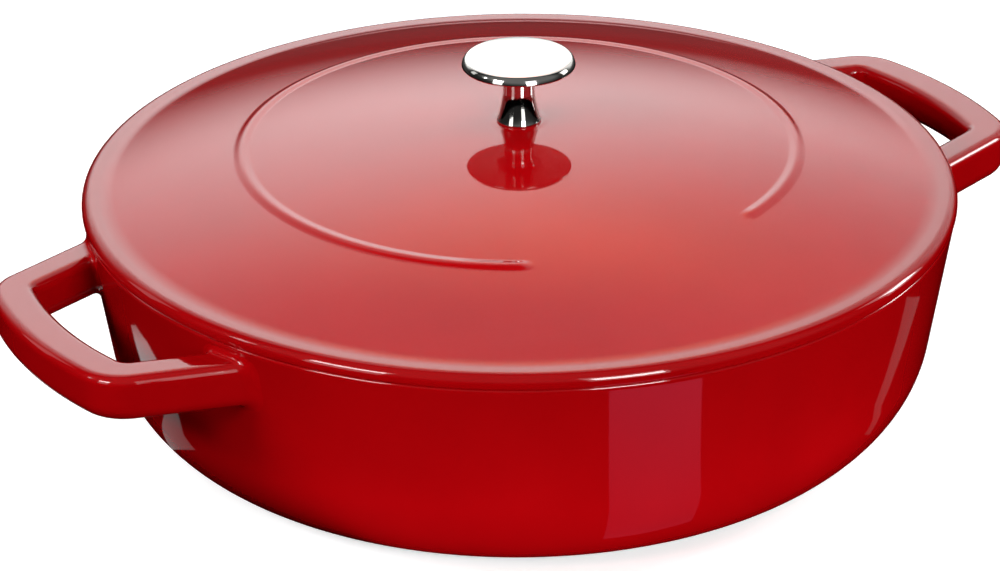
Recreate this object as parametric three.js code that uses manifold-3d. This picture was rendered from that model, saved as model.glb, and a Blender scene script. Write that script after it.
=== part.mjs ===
// Low cast iron saute pan with two loop handles and a domed lid, in millimetres, +Z up.
// The origin is on the table under the middle of the pan, and the handles lie along X.
import * as THREE from 'three';
import { mergeVertices } from 'three/addons/utils/BufferGeometryUtils.js';
import Module from 'manifold-3d';

const wasm = await Module();
wasm.setup();

// Pan
const rimRadius = 144.1;         // outside of the wall at the rim
const panHeight = 76.6;          // table to the seat of the lid
const wallDraft = 8.9;           // degrees that the wall leans outwards
const wallThickness = 4.2;
const floorThickness = 5;
const baseCornerRadius = 36;     // outside, from the base into the wall
const rimEdgeRadius = 1.2;
const footWidth = 15;            // flat ring that stands on the stove
const footRecess = 0.9;          // lift of the base inside that ring

// Loop handles, cast in one with the pan
const handleReach = 37.3;        // rim to the outer face of the bar
const handleDrop = 4.8;          // seat of the lid down to the top of the handle
const handleThickness = 15.9;
const armSpan = 94.4;            // between the arms' centre lines at the wall
const armTaper = 17.6;           // degrees that each arm leans towards the other
const armWidth = 13.4;
const barWidth = 14.8;
const barBowRadius = 135;        // the bar bows outwards
const handleCornerRadius = 11;   // on the centre line
const handleEdgeRadius = 3.4;
const handleLowerEdgeRadius = 4.6;
const armGripRadius = 6;         // lower edge inside the loop, on the arms
const barGripRadius = 9.5;       // the same on the bar, where the fingers hook under it
const handleLean = 1.2;          // each side drawn in at the bottom
const handleFillet = 3.4;        // from the arms into the wall

// Lid
const lidOverhang = 0.3;         // lid past the outside of the rim
const lidEdgeHeight = 4.8;       // seat to the top of the flange
const lidEdgeRadius = 3.4;
const lidLowerEdgeRadius = 0.8;
const flangeWidth = 5.6;         // band round the dome, with its rounded edge
const flangeBlendRadius = 18;    // hollow from the flange into the dome
const domeRise = 20.5;           // flange to the seat of the knob
const lidThickness = 4.2;
const skirtDepth = 5.5;          // locating ring inside the rim
const skirtThickness = 4;
const skirtClearance = 1;
const skirtFillet = 3;

// Raised ring on the dome, left open at the front
const beadRadius = 91.4;
const beadWidth = 5.6;
const beadHeight = 0.65;
const beadGap = 49;              // degrees left open
const beadGapFacing = -95;       // degrees from X to the middle of the gap
const beadTaper = 2.6;           // degrees over which each end runs out
const beadTip = 0.2;             // share of its full section at the very end

// Knob, washer and screw
const knobFootRadius = 7.3;
const knobFootHeight = 0.6;      // straight part of the foot
const knobFootLean = 25;         // degrees that the stem leans in above the foot
const knobFootDraw = 1.6;        // over which it keeps that lean
const knobNeckRadius = 5.2;
const knobNeckHeight = 10.4;     // lid to the start of the neck
const knobNeckDraw = 2;          // over which the stem settles into the neck
const capHeight = 19.4;          // lid to the underside of the cap
const capRadius = 18.7;
const capFaceRadius = 16.9;
const capEdgeHeight = 2.95;
const capEdgeLean = 14;          // degrees that the edge leans inwards
const capLowerRound = 0.45;
const capCrown = 1.2;
const capFillet = 4;             // from the neck into the cap
const knobFootRound = 0.5;
const knobSeatMargin = 1.2;      // flat of the dome round the foot
const screwRadius = 2.9;
const screwEngagement = 10;      // length held inside the knob
const boreClearance = 0.3;
const boreRunOut = 2;            // bore beyond the end of the screw
const holeClearance = 0.6;
const washerRadius = 7.5;
const washerThickness = 1.2;
const washerSeatMargin = 1.5;    // flat of the underside round the washer
const screwHeadRadius = 5.6;
const screwHeadHeight = 3.2;
const screwHeadEdge = 1.2;       // straight side of the head
const driveLength = 6.2;         // cross recess for the driver
const driveWidth = 1.2;
const driveDepth = 1.8;

// Facets
const roundSegments = 72;
const knobSegments = 28;
const screwSegments = 20;
const largeArcSteps = 6;
const mediumArcSteps = 3;
const smallArcSteps = 2;
const domeSteps = 7;
const beadSteps = 56;
const beadSides = 8;
const sectionCornerSteps = 2;
const filletSteps = 3;
const handleCornerSteps = 5;
const barHalfSteps = 5;

const weld = 1e-4;
const degrees = Math.PI / 180;

// Values shared by the pieces that meet
const draft = wallDraft * degrees;
const lidRadius = rimRadius + lidOverhang;
const flangeTop = panHeight + lidEdgeHeight;
const lidTop = flangeTop + domeRise;
const flangeInnerRadius = lidRadius - flangeWidth;
const domeRadius =
  (flangeInnerRadius ** 2 + domeRise ** 2 - 2 * flangeBlendRadius * domeRise) / (2 * domeRise);
const domeCentre = lidTop - domeRadius;
const lidHoleRadius = screwRadius + holeClearance;
const lidUnderside = lidTop - lidThickness;

function point(x, y) {
  return new THREE.Vector2(x, y);
}

function arc(x, y, radius, from, to, steps) {
  return new THREE.EllipseCurve(x, y, radius, radius, from, to, to < from).getPoints(steps);
}

// A closed mesh as a solid: vertices welded, triangles without area left out
function solid(geometry) {
  geometry.deleteAttribute('normal');
  geometry.deleteAttribute('uv');
  const merged = mergeVertices(geometry, weld);
  const corners = merged.index.array;
  const triVerts = [];
  for (let i = 0; i < corners.length; i += 3) {
    const [a, b, c] = corners.slice(i, i + 3);
    if (a !== b && b !== c && c !== a) triVerts.push(a, b, c);
  }
  const vertProperties = merged.attributes.position.array;
  return new wasm.Manifold(
    new wasm.Mesh({ numProp: 3, vertProperties, triVerts: new Uint32Array(triVerts) }),
  );
}

// Profile of radius and height, turned round Z
function revolve(profile, segments) {
  return solid(new THREE.LatheGeometry(profile, segments).rotateX(Math.PI / 2));
}

// Skin over rings of points, with a flat cap on each end
function loft(rings) {
  const sides = rings[0].length;
  const index = [];
  for (let ring = 0; ring + 1 < rings.length; ring++) {
    for (let side = 0; side < sides; side++) {
      const a = ring * sides + side;
      const b = ring * sides + ((side + 1) % sides);
      index.push(a, b, a + sides, b, b + sides, a + sides);
    }
  }
  const last = (rings.length - 1) * sides;
  for (let side = 1; side + 1 < sides; side++) {
    index.push(0, side + 1, side);
    index.push(last, last + side, last + side + 1);
  }
  const geometry = new THREE.BufferGeometry().setFromPoints(rings.flat());
  geometry.setIndex(index);
  return solid(geometry);
}

function namedMesh(name, body, material) {
  const { vertProperties, triVerts } = body.getMesh();
  const geometry = new THREE.BufferGeometry();
  geometry.setAttribute('position', new THREE.BufferAttribute(vertProperties, 3));
  geometry.setIndex(new THREE.BufferAttribute(triVerts, 1));
  geometry.computeVertexNormals();
  const mesh = new THREE.Mesh(geometry, material);
  mesh.name = name;
  return mesh;
}

// Radius of the drafted wall at a height, inset towards the cavity
function wallRadius(height, inset = 0) {
  return rimRadius - inset / Math.cos(draft) - (panHeight - height) * Math.tan(draft);
}

// Centre of the arc of that radius that touches a floor and the inset wall
function cornerCentre(floor, radius, inset) {
  const height = floor + radius;
  return point(wallRadius(height, inset + radius), height);
}

function panShell() {
  const outer = cornerCentre(0, baseCornerRadius, 0);
  const innerRadius = baseCornerRadius - wallThickness;
  const inner = cornerCentre(floorThickness, innerRadius, wallThickness);
  const edgeHeight = panHeight - rimEdgeRadius;
  const outerEdge = wallRadius(edgeHeight, rimEdgeRadius);
  const innerEdge = wallRadius(edgeHeight, wallThickness - rimEdgeRadius);
  const footInner = outer.x - footWidth;
  return revolve(
    [
      point(0, footRecess),
      point(footInner - footRecess, footRecess),
      point(footInner, 0),
      ...arc(outer.x, outer.y, baseCornerRadius, -Math.PI / 2, -draft, largeArcSteps),
      ...arc(outerEdge, edgeHeight, rimEdgeRadius, -draft, Math.PI / 2, smallArcSteps),
      ...arc(innerEdge, edgeHeight, rimEdgeRadius, Math.PI / 2, Math.PI - draft, smallArcSteps),
      ...arc(inner.x, inner.y, innerRadius, -draft, -Math.PI / 2, largeArcSteps),
      point(0, floorThickness),
    ],
    roundSegments,
  );
}

// Rounded section across a handle, drawn in at the bottom: points and the way that each faces
function handleSection(width, gripRadius) {
  const section = [];
  const corners = [
    { x: 1, y: 1, radius: handleEdgeRadius },
    { x: -1, y: 1, radius: handleEdgeRadius },
    { x: -1, y: -1, radius: gripRadius },
    { x: 1, y: -1, radius: handleLowerEdgeRadius },
  ];
  corners.forEach(({ x, y, radius }, quarter) => {
    const centre = point(x * (width / 2 - radius), y * (handleThickness / 2 - radius));
    for (let step = 0; step <= sectionCornerSteps; step++) {
      const angle = (quarter + step / sectionCornerSteps) * (Math.PI / 2);
      const facing = point(Math.cos(angle), Math.sin(angle));
      const place = centre.clone().addScaledVector(facing, radius);
      const below = 0.5 - place.y / handleThickness;
      place.x *= 1 - (below * handleLean) / (width / 2);
      section.push({ place, facing });
    }
  });
  return section;
}

// Half of a handle's centre line in plan: a straight arm, a round corner and the bowed bar
function handleRoute(middle) {
  const radius = wallRadius(middle);
  const root = point(Math.sqrt(radius ** 2 - (armSpan / 2) ** 2), armSpan / 2);
  const taper = armTaper * degrees;
  const along = point(Math.cos(taper), -Math.sin(taper));
  const outwards = point(Math.sin(taper), Math.cos(taper));
  const bowCentre = point(rimRadius + handleReach - barWidth / 2 - barBowRadius, 0);
  const start = root.clone().addScaledVector(outwards, -handleCornerRadius);
  const offset = start.clone().sub(bowCentre);
  const half = offset.dot(along);
  const gap = offset.lengthSq() - (barBowRadius - handleCornerRadius) ** 2;
  const corner = start.addScaledVector(along, -half + Math.sqrt(half ** 2 - gap));
  const barEnd = corner.clone().sub(bowCentre).angle();
  return { root, along, outwards, bowCentre, corner, barEnd };
}

// Rings that leave the wall, each line of the arm bent into the wall by a fillet
function rootRings(route, middle) {
  const { root, along, outwards } = route;
  const section = handleSection(armWidth, armGripRadius);
  const lines = section.map(({ place, facing }) => {
    const height = middle + place.y;
    const plan = root.clone().addScaledVector(outwards, place.x);
    const half = plan.dot(along);
    const run = -half + Math.sqrt(half ** 2 - plan.lengthSq() + wallRadius(height) ** 2);
    plan.addScaledVector(along, run);
    const meet = new THREE.Vector3(plan.x, plan.y, height);
    const radial = plan.clone().normalize();
    const level = new THREE.Vector3(-radial.y, radial.x, 0);
    const slope = new THREE.Vector3(radial.x, radial.y, 0).multiplyScalar(Math.sin(draft));
    slope.z = Math.cos(draft);
    const spread = level.multiplyScalar(facing.x).addScaledVector(slope, facing.y);
    const onWall = meet.clone().addScaledVector(spread.normalize(), handleFillet);
    const onArm = meet.clone().add(new THREE.Vector3(along.x, along.y, 0).multiplyScalar(handleFillet));
    const insideWall = new THREE.Vector3(radial.x, radial.y, 0).multiplyScalar(-wallThickness / 2);
    const curve = new THREE.QuadraticBezierCurve3(onWall, meet, onArm);
    return [onWall.clone().add(insideWall), ...curve.getPoints(filletSteps)];
  });
  return lines[0].map((_, ring) => lines.map((line) => line[ring]));
}

// Ring of the section at a share of the way from the arms into the bar
function handleRing(centre, outwards, share, middle) {
  const width = THREE.MathUtils.lerp(armWidth, barWidth, share);
  const gripRadius = THREE.MathUtils.lerp(armGripRadius, barGripRadius, share);
  return handleSection(width, gripRadius).map(({ place }) => {
    const plan = centre.clone().addScaledVector(outwards, place.x);
    return new THREE.Vector3(plan.x, plan.y, middle + place.y);
  });
}

function loopHandle() {
  const middle = panHeight - handleDrop - handleThickness / 2;
  const route = handleRoute(middle);
  const { outwards, bowCentre, corner, barEnd } = route;
  const rings = rootRings(route, middle);
  const armEnd = outwards.angle();
  for (let step = 0; step <= handleCornerSteps; step++) {
    const share = step / handleCornerSteps;
    const angle = THREE.MathUtils.lerp(armEnd, barEnd, share);
    const facing = point(Math.cos(angle), Math.sin(angle));
    const centre = corner.clone().addScaledVector(facing, handleCornerRadius);
    rings.push(handleRing(centre, facing, share, middle));
  }
  for (let step = 1; step < barHalfSteps; step++) {
    const angle = barEnd * (1 - step / barHalfSteps);
    const facing = point(Math.cos(angle), Math.sin(angle));
    const centre = bowCentre.clone().addScaledVector(facing, barBowRadius);
    rings.push(handleRing(centre, facing, 1, middle));
  }
  const mirrored = rings.map((ring) => ring.map(({ x, y, z }) => new THREE.Vector3(x, -y, z)));
  const barMiddle = bowCentre.clone().add(point(barBowRadius, 0));
  rings.push(handleRing(barMiddle, point(1, 0), 1, middle));
  return loft([...rings, ...mirrored.reverse()]);
}

function panBody() {
  const handle = loopHandle();
  return panShell().add(handle).add(handle.rotate([0, 0, 180]));
}

// Height of the dome, or of its underside, at a distance from the axis
function domeHeight(distance, inset = 0) {
  return domeCentre + Math.sqrt((domeRadius - inset) ** 2 - distance ** 2);
}

function domeArc(from, to, inset) {
  const radius = domeRadius - inset;
  return arc(0, domeCentre, radius, Math.acos(from / radius), Math.acos(to / radius), domeSteps);
}

function lidCasting() {
  const blendHeight = flangeTop + flangeBlendRadius;
  const blendFrom = Math.atan2(domeCentre - blendHeight, -flangeInnerRadius);
  const domeEdge = flangeInnerRadius + flangeBlendRadius * Math.cos(blendFrom);
  const edgeCentre = lidRadius - lidEdgeRadius;
  const lowerCentre = lidRadius - lidLowerEdgeRadius;
  const skirtBottom = panHeight - skirtDepth;
  const skirtOuterTop = wallRadius(panHeight, wallThickness) - skirtClearance;
  const skirtOuterBottom = wallRadius(skirtBottom, wallThickness) - skirtClearance;
  const skirtInner = skirtOuterBottom - skirtThickness;
  const skirtBlend = new THREE.QuadraticBezierCurve(
    point(skirtInner, domeHeight(skirtInner, lidThickness) - skirtFillet),
    point(skirtInner, domeHeight(skirtInner, lidThickness)),
    point(skirtInner - skirtFillet, domeHeight(skirtInner - skirtFillet, lidThickness)),
  );
  const washerSeat = washerRadius + washerSeatMargin;
  const profile = [
    point(lidHoleRadius, lidUnderside),
    point(washerSeat, lidUnderside),
    ...domeArc(washerSeat, skirtInner - skirtFillet, lidThickness).slice(1, -1),
    ...skirtBlend.getPoints(smallArcSteps).reverse(),
    point(skirtInner, skirtBottom),
    point(skirtOuterBottom, skirtBottom),
    point(skirtOuterTop, panHeight),
    ...arc(lowerCentre, panHeight + lidLowerEdgeRadius, lidLowerEdgeRadius, -Math.PI / 2, 0, smallArcSteps),
    ...arc(edgeCentre, flangeTop - lidEdgeRadius, lidEdgeRadius, 0, Math.PI / 2, mediumArcSteps),
    ...arc(flangeInnerRadius, blendHeight, flangeBlendRadius, -Math.PI / 2, blendFrom, smallArcSteps),
    ...domeArc(domeEdge, knobFootRadius + knobSeatMargin, 0).slice(1, -1),
    point(knobFootRadius + knobSeatMargin, lidTop),
    point(lidHoleRadius, lidTop),
    point(lidHoleRadius, lidUnderside),
  ];
  return revolve(profile, roundSegments);
}

// Raised ring on the dome, with ends that run out into it
function bead() {
  const lean = Math.asin(beadRadius / domeRadius);
  const turn = 360 - beadGap;
  const rings = [];
  for (let step = 0; step <= beadSteps; step++) {
    const along = (turn * step) / beadSteps;
    const fromEnd = Math.min(along, turn - along) / beadTaper;
    const swell = Math.sin((Math.PI / 2) * Math.min(1, fromEnd + beadTip));
    const angle = (beadGapFacing + beadGap / 2 + along) * degrees;
    const ring = [];
    for (let side = 0; side < beadSides; side++) {
      const turned = (2 * Math.PI * side) / beadSides;
      const across = (beadWidth / 2) * swell * Math.cos(turned);
      const up = beadHeight * swell * Math.sin(turned);
      const radius = beadRadius + across * Math.cos(lean) + up * Math.sin(lean);
      const height = domeHeight(beadRadius) - across * Math.sin(lean) + up * Math.cos(lean);
      ring.push(new THREE.Vector3(radius * Math.cos(angle), radius * Math.sin(angle), height));
    }
    rings.push(ring);
  }
  return loft(rings);
}

function lid() {
  return lidCasting().add(bead());
}

function knob() {
  const bore = screwRadius + boreClearance;
  const boreEnd = lidTop + screwEngagement + boreRunOut;
  const capBottom = lidTop + capHeight;
  const faceEdge = capBottom + capEdgeHeight;
  const footTop = lidTop + knobFootHeight;
  const neckStart = lidTop + knobNeckHeight;
  const footLean = knobFootLean * degrees;
  const footDraw = point(-Math.sin(footLean), Math.cos(footLean)).multiplyScalar(knobFootDraw);
  const stem = new THREE.CubicBezierCurve(
    point(knobFootRadius, footTop),
    point(knobFootRadius, footTop).add(footDraw),
    point(knobNeckRadius, neckStart - knobNeckDraw),
    point(knobNeckRadius, neckStart),
  );
  const lean = capEdgeLean * degrees;
  const lip = point(capRadius - capLowerRound, capBottom + capLowerRound);
  const upwards = point(-Math.sin(lean), Math.cos(lean));
  const edgeStart = lip.clone().add(point(upwards.y, -upwards.x).multiplyScalar(capLowerRound));
  const crownSlope = (2 * capCrown) / capFaceRadius;
  const edgeGap = faceEdge - edgeStart.y - (edgeStart.x - capFaceRadius) * crownSlope;
  const edgeRun = edgeGap / (upwards.y + upwards.x * crownSlope);
  const edge = new THREE.QuadraticBezierCurve(
    edgeStart,
    edgeStart.clone().addScaledVector(upwards, edgeRun),
    point(capFaceRadius, faceEdge),
  );
  const crown = new THREE.QuadraticBezierCurve(
    point(capFaceRadius, faceEdge),
    point(capFaceRadius / 2, faceEdge + capCrown),
    point(0, faceEdge + capCrown),
  );
  const footCentre = knobFootRadius - knobFootRound;
  const neckCentre = knobNeckRadius + capFillet;
  const profile = [
    point(0, boreEnd),
    point(bore, boreEnd),
    point(bore, lidTop),
    ...arc(footCentre, lidTop + knobFootRound, knobFootRound, -Math.PI / 2, 0, smallArcSteps),
    ...stem.getPoints(largeArcSteps),
    ...arc(neckCentre, capBottom - capFillet, capFillet, Math.PI, Math.PI / 2, mediumArcSteps),
    ...arc(lip.x, lip.y, capLowerRound, -Math.PI / 2, lean, smallArcSteps),
    ...edge.getPoints(mediumArcSteps).slice(1, -1),
    ...crown.getPoints(mediumArcSteps),
  ];
  return revolve(profile, knobSegments);
}

function washer() {
  const hole = lidHoleRadius;
  const bottom = lidUnderside - washerThickness;
  const profile = [
    point(hole, bottom),
    point(washerRadius, bottom),
    point(washerRadius, lidUnderside),
    point(hole, lidUnderside),
    point(hole, bottom),
  ];
  return revolve(profile, screwSegments);
}

function screw() {
  const headTop = lidUnderside - washerThickness;
  const headEdge = headTop - screwHeadEdge;
  const headBottom = headTop - screwHeadHeight;
  const dome = new THREE.QuadraticBezierCurve(
    point(0, headBottom),
    point(screwHeadRadius, headBottom),
    point(screwHeadRadius, headEdge),
  );
  const profile = [
    ...dome.getPoints(mediumArcSteps),
    point(screwHeadRadius, headTop),
    point(screwRadius, headTop),
    point(screwRadius, lidTop + screwEngagement),
    point(0, lidTop + screwEngagement),
  ];
  const slot = solid(new THREE.BoxGeometry(driveLength, driveWidth, 2 * driveDepth));
  const recess = slot.add(slot.rotate([0, 0, 90])).translate([0, 0, headBottom]);
  return revolve(profile, screwSegments).subtract(recess);
}

function finish(color, roughness, metalness) {
  return new THREE.MeshStandardMaterial({ color, roughness, metalness });
}

const pan = new THREE.Group();
pan.add(namedMesh('pan_body', panBody(), finish(0x9c0206, 0.12, 0)));

const cover = new THREE.Group();
cover.add(namedMesh('lid', lid(), finish(0xa30408, 0.12, 0)));
cover.add(namedMesh('knob', knob(), finish(0xd9d8d4, 0.08, 1)));
cover.add(namedMesh('knob_washer', washer(), finish(0xb4b4b2, 0.3, 1)));
cover.add(namedMesh('knob_screw', screw(), finish(0xa8a8a6, 0.3, 1)));
pan.add(cover);

export default pan;
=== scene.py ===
import math

import bmesh
import bpy
import numpy as np
from mathutils import Matrix, Vector


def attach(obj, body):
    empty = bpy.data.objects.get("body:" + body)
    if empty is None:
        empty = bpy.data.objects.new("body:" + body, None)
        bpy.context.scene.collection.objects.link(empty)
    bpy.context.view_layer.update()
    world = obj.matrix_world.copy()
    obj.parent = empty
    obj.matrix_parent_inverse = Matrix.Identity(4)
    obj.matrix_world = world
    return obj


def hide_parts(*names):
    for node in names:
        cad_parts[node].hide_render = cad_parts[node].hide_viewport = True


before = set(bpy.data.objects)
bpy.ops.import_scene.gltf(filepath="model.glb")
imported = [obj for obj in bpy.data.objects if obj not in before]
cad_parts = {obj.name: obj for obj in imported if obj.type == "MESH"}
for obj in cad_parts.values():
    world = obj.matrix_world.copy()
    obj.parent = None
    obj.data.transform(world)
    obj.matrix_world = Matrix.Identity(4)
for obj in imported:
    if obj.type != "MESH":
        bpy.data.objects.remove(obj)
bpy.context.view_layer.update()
scene = bpy.context.scene
scene.view_settings.view_transform = "Standard"
mm = 0.001

# Where the photograph was taken from: angles in degrees, lengths in metres, lens in mm
shot = {
    "azimuth": -31.99,
    "elevation": 24.5447,
    "distance": 1.35702,
    "aimHeight": 0.0814,
    "pan": 0.279,
    "tilt": -1.523,
    "roll": 0.3735,
    "lens": 147.66,
    "sensor": 36.0,
}


def around(azimuth, elevation=0.0):
    a, e = math.radians(azimuth), math.radians(elevation)
    return Vector((math.sin(a) * math.cos(e), -math.cos(a) * math.cos(e), math.sin(e)))


def placeCamera():
    back = around(shot["azimuth"], shot["elevation"])
    forward = -back
    right = around(shot["azimuth"] + 90)
    up = right.cross(forward)
    pan = Matrix.Rotation(math.radians(shot["pan"]), 3, up)
    forward, right = pan @ forward, pan @ right
    tilt = Matrix.Rotation(math.radians(shot["tilt"]), 3, right)
    forward, up = tilt @ forward, tilt @ up
    roll = Matrix.Rotation(math.radians(shot["roll"]), 3, forward)
    right, up = roll @ right, roll @ up
    data = bpy.data.cameras.new("studioCamera")
    data.lens = shot["lens"]
    data.sensor_width = shot["sensor"]
    camera = bpy.data.objects.new("studioCamera", data)
    scene.collection.objects.link(camera)
    turn = Matrix((right, up, -forward)).transposed().to_4x4()
    place = Vector((0, 0, shot["aimHeight"])) + back * shot["distance"]
    camera.matrix_world = Matrix.Translation(place) @ turn
    scene.camera = camera


placeCamera()
print("camera placed")


# Small helpers for node trees
def addNode(tree, kind, inputs=None, **settings):
    node = tree.nodes.new(kind)
    for key, value in settings.items():
        setattr(node, key, value)
    for key, value in (inputs or {}).items():
        socket = node.inputs[key]
        if isinstance(value, bpy.types.NodeSocket):
            tree.links.new(value, socket)
        else:
            socket.default_value = value
    return node


def mathNode(tree, operation, first, second=0.0, third=0.0):
    node = addNode(tree, "ShaderNodeMath", {0: first, 1: second, 2: third}, operation=operation)
    return node.outputs[0]


def newMaterial(name):
    material = bpy.data.materials.new(name)
    material.use_nodes = True
    tree = material.node_tree
    tree.nodes.clear()
    output = tree.nodes.new("ShaderNodeOutputMaterial")
    return material, tree, output


def principled(tree, output, **sockets):
    names = {key: key.replace("_", " ") for key in sockets}
    shader = addNode(
        tree,
        "ShaderNodeBsdfPrincipled",
        {names[key]: value for key, value in sockets.items()},
    )
    tree.links.new(shader.outputs[0], output.inputs["Surface"])
    return shader


def noise(tree, coordinates, scale, detail=2.0, roughness=0.5):
    node = addNode(
        tree,
        "ShaderNodeTexNoise",
        {"Vector": coordinates, "Scale": scale, "Detail": detail, "Roughness": roughness},
    )
    return node.outputs["Fac"]


def bump(tree, height, distance, under=None):
    inputs = {"Height": height, "Strength": 1.0, "Distance": distance}
    if under is not None:
        inputs["Normal"] = under
    return addNode(tree, "ShaderNodeBump", inputs).outputs[0]


noiseRange = (0.25, 0.75)    # where most of a noise texture's values lie


def spread(tree, value, low, high):
    node = addNode(
        tree,
        "ShaderNodeMapRange",
        {
            "Value": value,
            "From Min": noiseRange[0],
            "From Max": noiseRange[1],
            "To Min": low,
            "To Max": high,
        },
    )
    return node.outputs["Result"]


# Red enamel: fused glass over iron, a little wavy, darker by the edge attribute: thinner enamel on
# the edges, plus painted shade on the handles' up-facing tops
enamelLook = {
    "red": (0.405, 0.0008, 0.0025, 1),
    "thick": (0.36, 0.0004, 0.002, 1),
    "thin": (0.20, 0.0004, 0.001, 1),
    "thinAndShadeStrength": 0.6,
    "glossLow": 0.03,
    "glossHigh": 0.06,
    "flowScale": 34.0,
    "speckScale": 900.0,
    "waveScale": 26.0,
    "waveDepth": 0.000022,
    "peelScale": 190.0,
    "peelDepth": 0.0000045,
}


def redEnamel(name):
    look = enamelLook
    material, tree, output = newMaterial(name)
    place = addNode(tree, "ShaderNodeTexCoord").outputs["Object"]
    flow = noise(tree, place, look["flowScale"], 4.0)
    wave = noise(tree, place, look["waveScale"], 1.0)
    peel = noise(tree, place, look["peelScale"], 2.0)
    speck = noise(tree, place, look["speckScale"], 1.0)
    edge = addNode(tree, "ShaderNodeAttribute", attribute_name="edge").outputs["Fac"]
    tint = addNode(
        tree,
        "ShaderNodeMix",
        {"Factor": spread(tree, flow, 0.0, 1.0), "A": look["red"], "B": look["thick"]},
        data_type="RGBA",
    )
    # Edge darkening mixes real thin enamel on edges with painted shade where the handle tops face
    # up
    thinAndShadeMix = mathNode(tree, "MULTIPLY", edge, look["thinAndShadeStrength"])
    colour = addNode(
        tree,
        "ShaderNodeMix",
        {"Factor": thinAndShadeMix, "A": tint.outputs["Result"], "B": look["thin"]},
        data_type="RGBA",
    )
    gloss = spread(tree, speck, look["glossLow"], look["glossHigh"])
    relief = bump(tree, peel, look["peelDepth"], bump(tree, wave, look["waveDepth"]))
    principled(
        tree,
        output,
        Base_Color=colour.outputs["Result"],
        Roughness=gloss,
        Normal=relief,
        IOR=1.5,
    )
    return material


# Matt black enamel inside the pan and under the lid: a fine dry grain
blackLook = {
    "dark": (0.012, 0.012, 0.013, 1),
    "pale": (0.021, 0.020, 0.020, 1),
    "cloudScale": 30.0,
    "cloudDepth": 0.00003,
    "grainScale": 1500.0,
    "grainDepth": 0.00001,
    "grainRoughness": 0.14,
    "roughLow": 0.40,
    "roughHigh": 0.48,
}


def blackEnamel(name):
    look = blackLook
    material, tree, output = newMaterial(name)
    place = addNode(tree, "ShaderNodeTexCoord").outputs["Object"]
    cloud = noise(tree, place, look["cloudScale"], 3.0)
    grain = noise(tree, place, look["grainScale"], 2.0)
    tint = addNode(
        tree,
        "ShaderNodeMix",
        {"Factor": spread(tree, cloud, 0.0, 1.0), "A": look["dark"], "B": look["pale"]},
        data_type="RGBA",
    )
    fine = spread(tree, grain, 0.0, look["grainRoughness"])
    dry = mathNode(tree, "ADD", fine, spread(tree, cloud, look["roughLow"], look["roughHigh"]))
    relief = bump(tree, grain, look["grainDepth"], bump(tree, cloud, look["cloudDepth"]))
    principled(
        tree,
        output,
        Base_Color=tint.outputs["Result"],
        Roughness=dry,
        Normal=relief,
        IOR=1.5,
    )
    return material


# Turned metal: rings round the axis left by the tool, with faint handling marks
nickelLook = {
    "colour": (0.74, 0.725, 0.69, 1),
    "darker": (0.66, 0.65, 0.62, 1),
    "roughLow": 0.056,
    "roughHigh": 0.091,
    "ringPitch": 0.0005,
    "ringDepth": 0.0000004,
    "smudgeScale": 120.0,
    "fineScale": 2400.0,
}
steelLook = {
    "colour": (0.56, 0.56, 0.55, 1),
    "darker": (0.42, 0.42, 0.42, 1),
    "roughLow": 0.208,
    "roughHigh": 0.338,
    "ringPitch": 0.0003,
    "ringDepth": 0.000002,
    "smudgeScale": 120.0,
    "fineScale": 2400.0,
}


def turnedMetal(name, look):
    material, tree, output = newMaterial(name)
    place = addNode(tree, "ShaderNodeTexCoord").outputs["Object"]
    split = addNode(tree, "ShaderNodeSeparateXYZ", {0: place})
    flat = addNode(tree, "ShaderNodeCombineXYZ", {0: split.outputs[0], 1: split.outputs[1]})
    radius = addNode(tree, "ShaderNodeVectorMath", {0: flat.outputs[0]}, operation="LENGTH")
    run = mathNode(tree, "ADD", radius.outputs["Value"], split.outputs[2])
    phase = mathNode(tree, "MULTIPLY", run, 2 * math.pi / look["ringPitch"])
    lines = mathNode(tree, "SINE", phase)
    smudge = noise(tree, place, look["smudgeScale"], 4.0)
    fine = noise(tree, place, look["fineScale"], 2.0)
    tint = addNode(
        tree,
        "ShaderNodeMix",
        {"Factor": spread(tree, smudge, 0.0, 1.0), "A": look["colour"], "B": look["darker"]},
        data_type="RGBA",
    )
    height = mathNode(tree, "ADD", lines, fine)
    principled(
        tree,
        output,
        Base_Color=tint.outputs["Result"],
        Roughness=spread(tree, smudge, look["roughLow"], look["roughHigh"]),
        Normal=bump(tree, height, look["ringDepth"]),
        Metallic=1.0,
    )
    return material


panRed = redEnamel("panRedEnamel")
lidRed = redEnamel("lidRedEnamel")
insideBlack = blackEnamel("mattBlackEnamel")
nickel = turnedMetal("polishedNickel", nickelLook)
steel = turnedMetal("plainSteel", steelLook)
print("enamel and metal finishes made")


# Sections: lists of (radius, height, inside, edge) in mm
def arcPoints(centre, radius, start, end, steps, inside=0.0, edge=0.0, edgeEnd=None):
    angles = np.radians(np.linspace(start, end, steps + 1))
    across = centre[0] + radius * np.cos(angles)
    up = centre[1] + radius * np.sin(angles)
    edges = np.linspace(edge, edge if edgeEnd is None else edgeEnd, steps + 1)
    return [(r, z, inside, e) for r, z, e in zip(across, up, edges)]


def bezierPoints(corners, steps, inside=0.0, edge=0.0):
    corners = [np.array(c, float) for c in corners]
    points = []
    for t in np.linspace(0, 1, steps + 1):
        row = corners
        while len(row) > 1:
            row = [a * (1 - t) + b * t for a, b in zip(row, row[1:])]
        points.append((row[0][0], row[0][1], inside, edge))
    return points


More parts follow.
